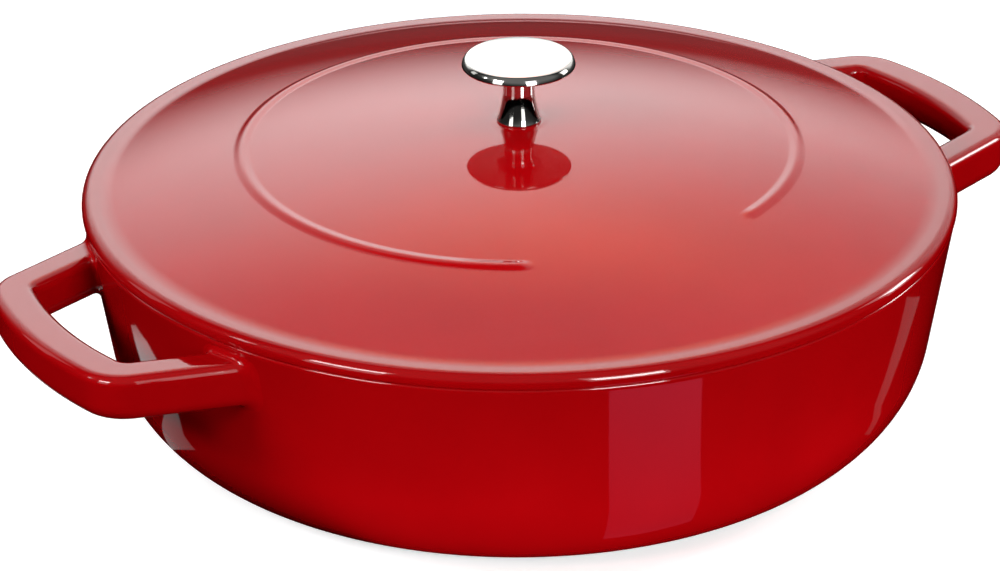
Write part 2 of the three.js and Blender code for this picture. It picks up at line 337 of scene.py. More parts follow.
# Extra points close to the ends of each straight run keep the shading flat there
def heldSection(points, closed, hold=0.5, samePlace=0.0001):
    rows = points[:1]
    for before, point in zip(points, points[1:]):
        if math.dist(point[:2], before[:2]) > samePlace:
            rows.append(point)
    count = len(rows) if closed else len(rows) - 1
    result = []
    for i in range(count):
        a, b = np.array(rows[i]), np.array(rows[(i + 1) % len(rows)])
        length = math.dist(a[:2], b[:2])
        result.append(a)
        if length > 5 * hold:
            for share in (hold / length, 1 - hold / length):
                point = a * (1 - share) + b * share
                point[2] = max(a[2], b[2]) if a[2] == b[2] else point[2].round()
                result.append(point)
    if not closed:
        result.append(np.array(rows[-1]))
    return result


def sectionMesh(name, points, closed):
    rows = heldSection(points, closed)
    places = [(r * mm, 0, z * mm) for r, z, _, _ in rows]
    edges = [(i, i + 1) for i in range(len(rows) - 1)]
    if closed:
        edges.append((len(rows) - 1, 0))
    mesh = bpy.data.meshes.new(name)
    mesh.from_pydata(places, edges, [])
    for key, column in (("inside", 2), ("edge", 3)):
        layer = mesh.attributes.new(key, "FLOAT", "POINT")
        layer.data.foreach_set("value", [float(row[column]) for row in rows])
    piece = bpy.data.objects.new(name, mesh)
    scene.collection.objects.link(piece)
    return piece


# Geometry Nodes: a tree with named inputs, and the sockets' identifiers for a modifier
def newTree(name, sockets):
    tree = bpy.data.node_groups.new(name, "GeometryNodeTree")
    tree.interface.new_socket("Geometry", in_out="INPUT", socket_type="NodeSocketGeometry")
    for label, kind in sockets:
        tree.interface.new_socket(label, in_out="INPUT", socket_type="NodeSocket" + kind)
    tree.interface.new_socket("Geometry", in_out="OUTPUT", socket_type="NodeSocketGeometry")
    return tree, tree.nodes.new("NodeGroupInput"), tree.nodes.new("NodeGroupOutput")


def applyTree(piece, tree, values):
    modifier = piece.modifiers.new(tree.name, "NODES")
    modifier.node_group = tree
    for item in tree.interface.items_tree:
        if item.in_out == "INPUT" and item.name in values:
            modifier[item.identifier] = values[item.name]


def settle(piece):
    graph = bpy.context.evaluated_depsgraph_get()
    mesh = bpy.data.meshes.new_from_object(piece.evaluated_get(graph))
    piece.modifiers.clear()
    piece.data = mesh
    return piece


# A section swept once round the axis, as a lathe or a foundry pattern would
def turningTree():
    tree, given, result = newTree(
        "turnSection",
        [
            ("Turning Radius", "Float"),
            ("Steps Round", "Int"),
            ("Weld Gap", "Float"),
            ("Outside Finish", "Material"),
            ("Inside Finish", "Material"),
        ],
    )
    line = addNode(tree, "GeometryNodeMeshToCurve", {"Mesh": given.outputs["Geometry"]})
    spot = addNode(tree, "GeometryNodeInputPosition")
    split = addNode(tree, "ShaderNodeSeparateXYZ", {0: spot.outputs[0]})
    across = mathNode(tree, "SUBTRACT", split.outputs[0], given.outputs["Turning Radius"])
    down = mathNode(tree, "MULTIPLY", split.outputs[2], -1.0)
    laid = addNode(tree, "ShaderNodeCombineXYZ", {0: across, 1: down})
    section = addNode(
        tree,
        "GeometryNodeSetPosition",
        {"Geometry": line.outputs[0], "Position": laid.outputs[0]},
    )
    circle = addNode(
        tree,
        "GeometryNodeCurvePrimitiveCircle",
        {"Resolution": given.outputs["Steps Round"], "Radius": given.outputs["Turning Radius"]},
    )
    swept = addNode(
        tree,
        "GeometryNodeCurveToMesh",
        {"Curve": circle.outputs[0], "Profile Curve": section.outputs[0]},
    )
    welded = addNode(
        tree,
        "GeometryNodeMergeByDistance",
        {"Geometry": swept.outputs[0], "Distance": given.outputs["Weld Gap"]},
    )
    smooth = addNode(tree, "GeometryNodeSetShadeSmooth", {"Geometry": welded.outputs[0]})
    real = addNode(tree, "GeometryNodeRealizeInstances", {"Geometry": smooth.outputs[0]})
    outside = addNode(
        tree,
        "GeometryNodeSetMaterial",
        {"Geometry": real.outputs[0], "Material": given.outputs["Outside Finish"]},
    )
    flag = addNode(tree, "GeometryNodeInputNamedAttribute", {"Name": "inside"}, data_type="FLOAT")
    hidden = addNode(
        tree, "FunctionNodeCompare", {0: flag.outputs[0], 1: 0.5}, operation="GREATER_THAN"
    )
    inside = addNode(
        tree,
        "GeometryNodeSetMaterial",
        {
            "Geometry": outside.outputs[0],
            "Selection": hidden.outputs[0],
            "Material": given.outputs["Inside Finish"],
        },
    )
    tree.links.new(inside.outputs[0], result.inputs[0])
    return tree


turnSection = turningTree()
lathe = {"turningRadius": 0.05, "weldGap": 0.000004}    # in metres


def turned(name, points, closed, stepsRound, outside, inside):
    piece = sectionMesh(name, points, closed)
    applyTree(
        piece,
        turnSection,
        {
            "Turning Radius": lathe["turningRadius"],
            "Steps Round": stepsRound,
            "Weld Gap": lathe["weldGap"],
            "Outside Finish": outside,
            "Inside Finish": inside,
        },
    )
    return piece


def facingOut(piece):
    work = bmesh.new()
    work.from_mesh(piece.data)
    bmesh.ops.recalc_face_normals(work, faces=work.faces)
    work.to_mesh(piece.data)
    work.free()
    return piece


# Pan, in mm and degrees
panSizes = {
    "rimRadius": 144.1,
    "height": 76.6,
    "draft": 8.9,
    "wall": 4.2,
    "floor": 5.0,
    "baseCorner": 36.0,
    "rimEdge": 1.2,
    "footWidth": 15.0,
    "footRecess": 0.9,
    "footSlope": 2.4,
    "thinRim": 0.6,
    "footSteps": 8,
    "cornerSteps": 30,
    "rimSteps": 8,
    "stepsRound": 288,
}
draft = math.radians(panSizes["draft"])


def wallRadius(height, inset=0.0):
    lean = (panSizes["height"] - height) * math.tan(draft)
    return panSizes["rimRadius"] - inset / math.cos(draft) - lean


def cornerCentre(floor, radius, inset):
    height = floor + radius
    return wallRadius(height, inset + radius), height


def panSection():
    s = panSizes
    outer = cornerCentre(0, s["baseCorner"], 0)
    innerRadius = s["baseCorner"] - s["wall"]
    inner = cornerCentre(s["floor"], innerRadius, s["wall"])
    edgeHeight = s["height"] - s["rimEdge"]
    outerEdge = (wallRadius(edgeHeight, s["rimEdge"]), edgeHeight)
    innerEdge = (wallRadius(edgeHeight, s["wall"] - s["rimEdge"]), edgeHeight)
    footInner = outer[0] - s["footWidth"]
    points = [(0, s["footRecess"], 0, 0)]
    for t in np.linspace(0, 1, s["footSteps"] + 1):    # soft step down to the foot ring
        drop = s["footRecess"] * (0.5 + 0.5 * math.cos(math.pi * t))
        points.append((footInner - s["footSlope"] * (1 - t), drop, 0, 0))
    lean, corner, rim = s["draft"], s["cornerSteps"], s["rimSteps"]
    points += arcPoints(outer, s["baseCorner"], -90, -lean, corner)
    points += arcPoints(outerEdge, s["rimEdge"], -lean, 90, rim, edge=s["thinRim"])
    points += arcPoints(innerEdge, s["rimEdge"], 90, 180 - lean, rim, inside=1.0)
    points += arcPoints(inner, innerRadius, -lean, -90, corner, inside=1.0)
    points.append((0, s["floor"], 1.0, 0))
    return points


# Loop handle, in mm and degrees
handleSizes = {
    "reach": 37.3,
    "drop": 4.8,
    "thickness": 15.9,
    "armSpan": 94.4,
    "armTaper": 17.6,
    "armWidth": 13.4,
    "barWidth": 14.8,
    "bowRadius": 135.0,
    "cornerRadius": 11.0,
    "edgeRadius": 3.4,
    "lowerEdgeRadius": 4.6,
    "armGrip": 6.0,
    "barGrip": 9.5,
    "lean": 1.2,
    "fillet": 3.4,
    "filletSink": 0.03,
    "buriedRun": 1.0,
    "buriedDepth": 0.35,
    "rootDepth": 2.1,
    # Faces turned up darken more than the sides: thin enamel on the edges plus painted shade on
    # the tops
    "thinSide": 0.45,
    "thinAndShadeTop": 0.85,
    "sideStops": (0.09, 0.5, 0.91),
    "count": 2,
    "edgeSteps": 10,
    "filletSteps": 14,
    "armSteps": 6,
    "cornerSteps": 26,
    "barSteps": 22,
}


# Points across the handle and the way that each faces; share runs from the arms to the bar
def handleSection(share):
    s = handleSizes
    width = s["armWidth"] * (1 - share) + s["barWidth"] * share
    grip = s["armGrip"] * (1 - share) + s["barGrip"] * share
    half, thick = width / 2, s["thickness"]
    signs = [(1, 1, s["edgeRadius"]), (-1, 1, s["edgeRadius"])]
    signs += [(-1, -1, grip), (1, -1, s["lowerEdgeRadius"])]
    places, faces, edges = [], [], []
    for quarter, (x, y, radius) in enumerate(signs):
        centre = np.array([x * (half - radius), y * (thick / 2 - radius)])
        for t in np.linspace(0, 1, s["edgeSteps"] + 1):
            angle = (quarter + t) * math.pi / 2
            facing = np.array([math.cos(angle), math.sin(angle)])
            places.append(centre + radius * facing)
            faces.append(facing)
            # Edge darkening: the sides take it for thin enamel, faces turned up take more, a
            # painted shade on the tops
            upper = max(0.0, facing[1])
            edges.append(s["thinSide"] * (1 - upper) + s["thinAndShadeTop"] * upper)
        nextX, nextY, nextRadius = signs[(quarter + 1) % 4]
        start = places[-1]
        nextCentre = np.array([nextX * (half - nextRadius), nextY * (thick / 2 - nextRadius)])
        end = nextCentre + nextRadius * faces[-1]
        for stop in s["sideStops"]:
            places.append(start * (1 - stop) + end * stop)
            faces.append(faces[-1])
            edges.append(edges[-1])
    places = np.array(places)
    below = 0.5 - places[:, 1] / thick
    places[:, 0] *= 1 - below * s["lean"] / half
    return places, np.array(faces), np.array(edges)


def handleRing(centre, outwards, share, middle):
    places, _, _ = handleSection(share)
    plan = centre[None, :] + places[:, :1] * outwards[None, :]
    return np.column_stack([plan, middle + places[:, 1]])


# Each line along the arm bends into the drafted wall by its own fillet
def rootRings(root, along, outwards, middle):
    s = handleSizes
    places, faces, _ = handleSection(0.0)
    lines = []
    for place, facing in zip(places, faces):
        height = middle + place[1]
        plan = root + place[0] * outwards
        half = plan @ along
        reach = wallRadius(height)
        plan = plan + along * (-half + math.sqrt(half**2 - plan @ plan + reach**2))
        meet = np.array([*plan, height])
        radial = plan / np.linalg.norm(plan)
        level = np.array([-radial[1], radial[0], 0])
        slope = np.array([*(radial * math.sin(draft)), math.cos(draft)])
        runs = level * facing[0] + slope * facing[1]
        runs /= np.linalg.norm(runs)
        inwards = np.array([*(-radial), 0])
        onWall = meet + runs * s["fillet"] + inwards * s["filletSink"]
        onArm = meet + np.array([*along, 0]) * s["fillet"]
        buried = meet + runs * (s["fillet"] + s["buriedRun"]) + inwards * s["buriedDepth"]
        deep = meet + runs * s["fillet"] + inwards * s["rootDepth"]
        line = [deep, buried]
        for t in np.linspace(0, 1, s["filletSteps"] + 1):
            line.append(onWall * (1 - t) ** 2 + meet * 2 * t * (1 - t) + onArm * t**2)
        lines.append(line)
    return [np.array(ring) for ring in zip(*lines)]


def loopRings():
    s = handleSizes
    middle = panSizes["height"] - s["drop"] - s["thickness"] / 2
    taper = math.radians(s["armTaper"])
    along = np.array([math.cos(taper), -math.sin(taper)])
    outwards = np.array([math.sin(taper), math.cos(taper)])
    rootX = math.sqrt(wallRadius(middle) ** 2 - (s["armSpan"] / 2) ** 2)
    root = np.array([rootX, s["armSpan"] / 2])
    bow = np.array([panSizes["rimRadius"] + s["reach"] - s["barWidth"] / 2 - s["bowRadius"], 0.0])
    start = root - outwards * s["cornerRadius"]
    offset = start - bow
    half = offset @ along
    gap = offset @ offset - (s["bowRadius"] - s["cornerRadius"]) ** 2
    corner = start + along * (-half + math.sqrt(half**2 - gap))
    barEnd = math.atan2(corner[1] - bow[1], corner[0] - bow[0])
    armEnd = math.atan2(outwards[1], outwards[0])
    rings = rootRings(root, along, outwards, middle)
    firstCorner = handleRing(corner + outwards * s["cornerRadius"], outwards, 0.0, middle)
    armStart = rings[-1]
    for t in np.linspace(0, 1, s["armSteps"] + 1)[1:-1]:
        rings.append(armStart * (1 - t) + firstCorner * t)
    for t in np.linspace(0, 1, s["cornerSteps"] + 1):
        angle = armEnd * (1 - t) + barEnd * t
        facing = np.array([math.cos(angle), math.sin(angle)])
        rings.append(handleRing(corner + facing * s["cornerRadius"], facing, t, middle))
    for t in np.linspace(0, 1, s["barSteps"] + 1)[1:-1]:
        angle = barEnd * (1 - t)
        facing = np.array([math.cos(angle), math.sin(angle)])
        rings.append(handleRing(bow + facing * s["bowRadius"], facing, 1.0, middle))
    mirrored = [ring * np.array([1, -1, 1]) for ring in reversed(rings)]
    barMiddle = bow + np.array([s["bowRadius"], 0])
    rings.append(handleRing(barMiddle, np.array([1.0, 0.0]), 1.0, middle))
    return rings + mirrored


def loopHandle(name):
    rings = loopRings()
    sides = len(rings[0])
    faces = []
    for i in range(len(rings) - 1):
        for j in range(sides):
            k = (j + 1) % sides
            faces.append((i * sides + j, i * sides + k, (i + 1) * sides + k, (i + 1) * sides + j))
    faces.append(tuple(range(sides)))
    faces.append(tuple(range((len(rings) - 1) * sides, len(rings) * sides)))
    mesh = bpy.data.meshes.new(name)
    mesh.from_pydata((np.concatenate(rings) * mm).tolist(), [], faces)
    count = np.arange(len(rings))
    fromWall = np.minimum(count, count[::-1]) / (handleSizes["filletSteps"] + 2)
    edges = np.outer(np.minimum(fromWall, 1.0), handleSection(0.0)[2])
    layer = mesh.attributes.new("edge", "FLOAT", "POINT")
    layer.data.foreach_set("value", edges.ravel())
    mesh.attributes.new("inside", "FLOAT", "POINT")
    piece = bpy.data.objects.new(name, mesh)
    scene.collection.objects.link(piece)
    return facingOut(piece)


# Copies spaced evenly round the pan's axis
def handlesTree():
    tree, given, result = newTree(
        "handlesRoundPan", [("Handles", "Int"), ("Finish", "Material")]
    )
    spots = addNode(tree, "GeometryNodePoints", {"Count": given.outputs["Handles"]})
    number = addNode(tree, "GeometryNodeInputIndex")
    share = mathNode(tree, "DIVIDE", number.outputs[0], given.outputs["Handles"])
    turn = addNode(
        tree, "ShaderNodeCombineXYZ", {2: mathNode(tree, "MULTIPLY", share, 2 * math.pi)}
    )
    copies = addNode(
        tree,
        "GeometryNodeInstanceOnPoints",
        {
            "Points": spots.outputs[0],
            "Instance": given.outputs["Geometry"],
            "Rotation": turn.outputs[0],
        },
    )
    real = addNode(tree, "GeometryNodeRealizeInstances", {"Geometry": copies.outputs[0]})
    smooth = addNode(tree, "GeometryNodeSetShadeSmooth", {"Geometry": real.outputs[0]})
    finish = addNode(
        tree,
        "GeometryNodeSetMaterial",
        {"Geometry": smooth.outputs[0], "Material": given.outputs["Finish"]},
    )
    tree.links.new(finish.outputs[0], result.inputs[0])
    return tree


def joined(name, first, second):
    slots = list(first.data.materials)
    for face in second.data.polygons:
        face.material_index = slots.index(second.data.materials[face.material_index])
    work = bmesh.new()
    work.from_mesh(first.data)
    work.from_mesh(second.data)
    work.to_mesh(first.data)
    work.free()
    bpy.data.objects.remove(second)
    first.name = name
    first.data.name = name
    return first


def makePan():
    shell = settle(
        turned("panShell", panSection(), False, panSizes["stepsRound"], panRed, insideBlack)
    )
    facingOut(shell)
    loops = loopHandle("panLoops")
    applyTree(loops, handlesTree(), {"Handles": handleSizes["count"], "Finish": panRed})
    settle(loops)
    return joined("enamelled_pan", shell, loops)


pan = makePan()
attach(pan, "pan")
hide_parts("pan_body")
print("pan cast with both loop handles:", len(pan.data.polygons), "faces")


# Lid, in mm and degrees
lidSizes = {
    "overhang": 0.3,
    "edgeHeight": 4.8,
    "edgeRadius": 3.4,
    "lowerEdgeRadius": 0.8,
    "thinEdge": 0.83,
    "flangeWidth": 5.6,
    "blendRadius": 18.0,
    "rise": 20.5,
    "thickness": 4.2,
    "skirtDepth": 5.5,
    "skirtThickness": 4.0,
    "skirtClearance": 1.0,
    "skirtFillet": 3.0,
    "skirtEdge": 0.7,
    "holeRadius": 3.5,
    "knobSeat": 8.5,
    "knobSeatStep": 0.5,
    "washerSeat": 9.0,
    "washerSeatStep": 0.6,
    "rimSeatStep": 0.4,
    "smallSteps": 6,
    "filletSteps": 8,
    "edgeSteps": 16,
    "stepsRound": 360,
    "domeStep": 1.6,
    "ringStep": 0.2,
}
ringSizes = {
    "radius": 91.4,
    "halfWidth": 3.1,
    "margin": 0.6,
    "height": 0.65,
    "gap": 49.0,
    "facing": -95.0,
    "taper": 2.4,
}
lidRadius = panSizes["rimRadius"] + lidSizes["overhang"]
flangeTop = panSizes["height"] + lidSizes["edgeHeight"]
lidTop = flangeTop + lidSizes["rise"]
flangeInner = lidRadius - lidSizes["flangeWidth"]
chordSquare = flangeInner**2 + lidSizes["rise"] ** 2
domeRadius = chordSquare / (2 * lidSizes["rise"]) - lidSizes["blendRadius"]
domeCentre = lidTop - domeRadius


def domeHeight(distance, inset=0.0):
    return domeCentre + math.sqrt((domeRadius - inset) ** 2 - distance**2)


def domePoints(start, end, inset, inside):
    s, r = lidSizes, ringSizes
    stops = list(np.linspace(start, end, int(abs(end - start) / s["domeStep"]) + 1))
    if not inside:    # closer together where the raised ring stands
        band = r["halfWidth"] + r["margin"]
        stops = [d for d in stops if abs(d - r["radius"]) > band]
        count = int(2 * band / s["ringStep"]) + 1
        stops += list(np.linspace(r["radius"] - band, r["radius"] + band, count))
        stops.sort(reverse=end < start)
    return [(d, domeHeight(d, inset), inside, 0) for d in stops]


def lidSection():
    s = lidSizes
    seat = panSizes["height"]
    blendHeight = flangeTop + s["blendRadius"]
    blendFrom = math.degrees(math.atan2(domeCentre - blendHeight, -flangeInner))
    domeEdge = flangeInner + s["blendRadius"] * math.cos(math.radians(blendFrom))
    skirtBottom = seat - s["skirtDepth"]
    outerTop = wallRadius(seat, panSizes["wall"]) - s["skirtClearance"]
    outerBottom = wallRadius(skirtBottom, panSizes["wall"]) - s["skirtClearance"]
    skirtInner = outerBottom - s["skirtThickness"]
    soft = s["skirtEdge"]
    under = lidTop - s["thickness"]
    nearSkirt = skirtInner - s["skirtFillet"]
    rootHeight = domeHeight(skirtInner, s["thickness"])
    small = s["smallSteps"]
    points = [(s["holeRadius"], under, 1, 0)]
    points += [(s["washerSeat"] - s["washerSeatStep"], under, 1, 0)]
    points += domePoints(s["washerSeat"], nearSkirt, s["thickness"], 1.0)
    points += bezierPoints(
        [
            (nearSkirt, domeHeight(nearSkirt, s["thickness"])),
            (skirtInner, rootHeight),
            (skirtInner, rootHeight - s["skirtFillet"]),
        ],
        s["filletSteps"],
        inside=1.0,
    )
    softHeight = skirtBottom + soft
    points += arcPoints((skirtInner + soft, softHeight), soft, 180, 270, small, inside=1.0)
    points += arcPoints((outerBottom - soft, softHeight), soft, 270, 360, small, inside=1.0)
    points += [(outerTop, seat, 1.0, 0)]
    low, high = s["lowerEdgeRadius"], s["edgeRadius"]
    points += [(lidRadius - low - s["rimSeatStep"], seat, 1.0, 0)]
    thin, fine = s["thinEdge"], s["edgeSteps"]
    points += arcPoints((lidRadius - low, seat + low), low, -90, 0, small, edge=thin)
    points += arcPoints((lidRadius - high, flangeTop - high), high, 0, 90, fine, edge=thin)
    blend = (flangeInner, blendHeight)
    points += arcPoints(blend, s["blendRadius"], -90, blendFrom, fine, edge=thin, edgeEnd=0.0)
    points += domePoints(domeEdge, s["knobSeat"] + s["knobSeatStep"], 0.0, 0.0)[1:]
    points += [(s["knobSeat"], lidTop, 0, 0), (s["holeRadius"], lidTop, 0, 0)]
    return points


# Raises a bead out of the dome along a circle, left open at the front
def raisedRingTree():
    tree, given, result = newTree(
        "raisedRing",
        [
            ("Ring Radius", "Float"),
            ("Half Width", "Float"),
            ("Ring Height", "Float"),
            ("Dome Centre", "Float"),
            ("Gap Facing", "Float"),
            ("Half Gap", "Float"),
            ("Run Out", "Float"),
            ("Finish", "Material"),
        ],
    )
    spot = addNode(tree, "GeometryNodeInputPosition").outputs[0]
    split = addNode(tree, "ShaderNodeSeparateXYZ", {0: spot})
    flat = addNode(tree, "ShaderNodeCombineXYZ", {0: split.outputs[0], 1: split.outputs[1]})
    radius = addNode(tree, "ShaderNodeVectorMath", {0: flat.outputs[0]}, operation="LENGTH")
    angle = mathNode(tree, "ARCTAN2", split.outputs[1], split.outputs[0])
    away = mathNode(tree, "SUBTRACT", angle, given.outputs["Gap Facing"])
    away = mathNode(tree, "ABSOLUTE", mathNode(tree, "WRAP", away, math.pi, -math.pi))
    past = mathNode(tree, "SUBTRACT", away, given.outputs["Half Gap"])
    swell = addNode(
        tree,
        "ShaderNodeMapRange",
        {"Value": past, "From Min": 0.0, "From Max": given.outputs["Run Out"]},
        interpolation_type="SMOOTHSTEP",
    ).outputs["Result"]
    aside = mathNode(tree, "SUBTRACT", radius.outputs["Value"], given.outputs["Ring Radius"])
    aside = mathNode(tree, "DIVIDE", aside, given.outputs["Half Width"])
    aside = mathNode(tree, "MINIMUM", mathNode(tree, "ABSOLUTE", aside), 1.0)
    bell = mathNode(tree, "COSINE", mathNode(tree, "MULTIPLY", aside, math.pi))
    bell = mathNode(tree, "MULTIPLY_ADD", bell, 0.5, 0.5)
    height = mathNode(tree, "MULTIPLY", swell, given.outputs["Ring Height"])
    height = mathNode(tree, "MULTIPLY", bell, height)
    centre = addNode(tree, "ShaderNodeCombineXYZ", {2: given.outputs["Dome Centre"]})
    ray = addNode(
        tree, "ShaderNodeVectorMath", {0: spot, 1: centre.outputs[0]}, operation="SUBTRACT"
    )
    outwards = addNode(tree, "ShaderNodeVectorMath", {0: ray.outputs[0]}, operation="NORMALIZE")
    lift = addNode(
        tree,
        "ShaderNodeVectorMath",
        {0: outwards.outputs[0], "Scale": height},
        operation="SCALE",
    )
    flag = addNode(tree, "GeometryNodeInputNamedAttribute", {"Name": "inside"}, data_type="FLOAT")
    upper = addNode(
        tree, "FunctionNodeCompare", {0: flag.outputs[0], 1: 0.5}, operation="LESS_THAN"
    )
    raised = addNode(
        tree,
        "GeometryNodeSetPosition",
        {
            "Geometry": given.outputs["Geometry"],
            "Selection": upper.outputs[0],
            "Offset": lift.outputs[0],
        },
    )
    real = addNode(tree, "GeometryNodeRealizeInstances", {"Geometry": raised.outputs[0]})
    finish = addNode(
        tree,
        "GeometryNodeSetMaterial",
        {
            "Geometry": real.outputs[0],
            "Selection": upper.outputs[0],
            "Material": given.outputs["Finish"],
        },
    )
    tree.links.new(finish.outputs[0], result.inputs[0])
    return tree


def makeLid():
    r = ringSizes
    piece = turned(
        "enamelled_lid", lidSection(), True, lidSizes["stepsRound"], lidRed, insideBlack
    )
    applyTree(
        piece,
        raisedRingTree(),
        {
            "Ring Radius": r["radius"] * mm,
            "Half Width": r["halfWidth"] * mm,
            "Ring Height": r["height"] * mm,
            "Dome Centre": domeCentre * mm,
            "Gap Facing": math.radians(r["facing"]),
            "Half Gap": math.radians(r["gap"] / 2),
            "Run Out": math.radians(r["taper"]),
            "Finish": lidRed,
        },
    )
    return facingOut(settle(piece))


lid = makeLid()
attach(lid, "lid")
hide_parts("lid")
print("lid cast with its raised ring:", len(lid.data.polygons), "faces")


# Knob, in mm from the seat on the lid
knobSizes = {
    "footRadius": 7.3,
    "footHeight": 0.6,
    "footRound": 0.5,
    "footLean": 25.0,
    "footDraw": 1.6,
    "neckRadius": 5.2,
    "neckHeight": 10.4,
    "neckDraw": 2.0,
    "capHeight": 19.4,
    "capRadius": 18.7,
    "faceRadius": 16.9,
    "edgeHeight": 2.95,
    "edgeLean": 14.0,
    "lowerRound": 0.45,
    "crown": 1.2,
    "fillet": 4.0,
    "boreRadius": 3.2,
    "boreDepth": 12.0,
    "footSteps": 6,
    "stemSteps": 30,
    "filletSteps": 14,
    "lipSteps": 8,
    "edgeSteps": 16,
    "faceSteps": 20,
    "stepsRound": 128,
}


def knobSection():
    s = knobSizes
    low = lidTop + s["capHeight"]
    face = low + s["edgeHeight"]
    footTop = lidTop + s["footHeight"]
    neckStart = lidTop + s["neckHeight"]
    points = [
        (0, lidTop + s["boreDepth"], 0, 0),
        (s["boreRadius"], lidTop + s["boreDepth"], 0, 0),
        (s["boreRadius"], lidTop, 0, 0),
    ]
    foot = (s["footRadius"] - s["footRound"], lidTop + s["footRound"])
    points += arcPoints(foot, s["footRound"], -90, 0, s["footSteps"])
    lean, draw = math.radians(s["footLean"]), s["footDraw"]
    points += bezierPoints(
        [
            (s["footRadius"], footTop),
            (s["footRadius"] - draw * math.sin(lean), footTop + draw * math.cos(lean)),
            (s["neckRadius"], neckStart - s["neckDraw"]),
            (s["neckRadius"], neckStart),
        ],
        s["stemSteps"],
    )
    underCap = (s["neckRadius"] + s["fillet"], low - s["fillet"])
    points += arcPoints(underCap, s["fillet"], 180, 90, s["filletSteps"])
    lean = math.radians(s["edgeLean"])
    lipCentre = (s["capRadius"] - s["lowerRound"], low + s["lowerRound"])
    lip = arcPoints(lipCentre, s["lowerRound"], -90, s["edgeLean"], s["lipSteps"])
    points += lip
    startRadius, startHeight = lip[-1][:2]
    slope = 2 * s["crown"] / s["faceRadius"]
    run = face - startHeight - (startRadius - s["faceRadius"]) * slope
    run /= math.cos(lean) - math.sin(lean) * slope
    points += bezierPoints(
        [
            (startRadius, startHeight),
            (startRadius - run * math.sin(lean), startHeight + run * math.cos(lean)),
            (s["faceRadius"], face),
        ],
        s["edgeSteps"],
    )[1:]
    crown = face + s["crown"]
    points += bezierPoints(
        [(s["faceRadius"], face), (s["faceRadius"] / 2, crown), (0, crown)], s["faceSteps"]
    )[1:]
    return points


knob = facingOut(
    settle(turned("turned_knob", knobSection(), False, knobSizes["stepsRound"], nickel, nickel))
)
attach(knob, "lid")
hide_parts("knob")
print("knob turned:", len(knob.data.polygons), "faces")


# Washer and screw under the lid, in mm
fixingSizes = {
    "washerRadius": 7.5,
    "washerHole": 3.5,
    "washerThickness": 1.2,
    "washerEdge": 0.25,
    "shankRadius": 2.9,
    "engagement": 10.0,
    "headRadius": 5.6,
    "headHeight": 3.2,
    "headEdge": 1.2,
    "headRound": 0.3,
    "tipChamfer": 0.6,
    "driveLength": 6.2,
    "driveWidth": 1.2,
    "driveDepth": 1.8,
    "driveTaper": 0.62,
    "driveOvershoot": 1.0,
    "sharpAngle": 28.0,
    "edgeSteps": 4,
    "headSteps": 18,
    "stepsRound": 64,
}
underside = lidTop - lidSizes["thickness"]


def washerSection():
    s = fixingSizes
    e, steps = s["washerEdge"], s["edgeSteps"]
    inner, outer = s["washerHole"] + e, s["washerRadius"] - e
    low, high = underside - s["washerThickness"] + e, underside - e
    points = arcPoints((inner, high), e, 90, 180, steps)
    points += arcPoints((inner, low), e, 180, 270, steps)
    points += arcPoints((outer, low), e, 270, 360, steps)
    points += arcPoints((outer, high), e, 0, 90, steps)
    return points


def screwSection():
    s = fixingSizes
    top = underside - s["washerThickness"]
    low = top - s["headHeight"]
    head, shank = s["headRadius"], s["shankRadius"]
    soft, tip = s["headRound"], s["tipChamfer"]
    end = lidTop + s["engagement"]
    points = bezierPoints([(0, low), (head, low), (head, top - s["headEdge"])], s["headSteps"])
    points += arcPoints((head - soft, top - soft), soft, 0, 90, s["edgeSteps"])
    points += [(shank, top, 0, 0), (shank, end - tip, 0, 0)]
    points += [(shank - tip, end, 0, 0), (0, end, 0, 0)]
    return points


# Cross recess: a tapered plus sign taken out of the head
def driveTool(name):
    s = fixingSizes
    low = underside - s["washerThickness"] - s["headHeight"]
    half, thin = s["driveLength"] / 2, s["driveWidth"] / 2
    outline = [(half, -thin), (half, thin), (thin, thin), (thin, half)]
    outline += [(-thin, half), (-thin, thin), (-half, thin), (-half, -thin)]
    outline += [(-thin, -thin), (-thin, -half), (thin, -half), (thin, -thin)]
    taper, n = s["driveTaper"], len(outline)
    places = [(x * mm, y * mm, (low - s["driveOvershoot"]) * mm) for x, y in outline]
    places += [(x * taper * mm, y * taper * mm, (low + s["driveDepth"]) * mm) for x, y in outline]
    faces = [tuple(range(n)), tuple(range(n, 2 * n))]
    faces += [(i, (i + 1) % n, n + (i + 1) % n, n + i) for i in range(n)]
    mesh = bpy.data.meshes.new(name)
    mesh.from_pydata(places, [], faces)
    piece = bpy.data.objects.new(name, mesh)
    scene.collection.objects.link(piece)
    return facingOut(piece)


fixingSteps = fixingSizes["stepsRound"]
washer = turned("plain_washer", washerSection(), True, fixingSteps, steel, steel)
facingOut(settle(washer))
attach(washer, "lid")
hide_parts("knob_washer")

screw = turned("knob_fixing_screw", screwSection(), False, fixingSteps, steel, steel)
facingOut(settle(screw))
tool = driveTool("driveRecess")
cut = screw.modifiers.new("driveRecess", "BOOLEAN")
cut.operation = "DIFFERENCE"
cut.solver = "EXACT"
cut.object = tool
settle(screw)
bpy.data.objects.remove(tool)
screw.data.shade_smooth()
screw.data.set_sharp_from_angle(angle=math.radians(fixingSizes["sharpAngle"]))
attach(screw, "lid")
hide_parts("knob_screw")
print("washer and screw fitted")


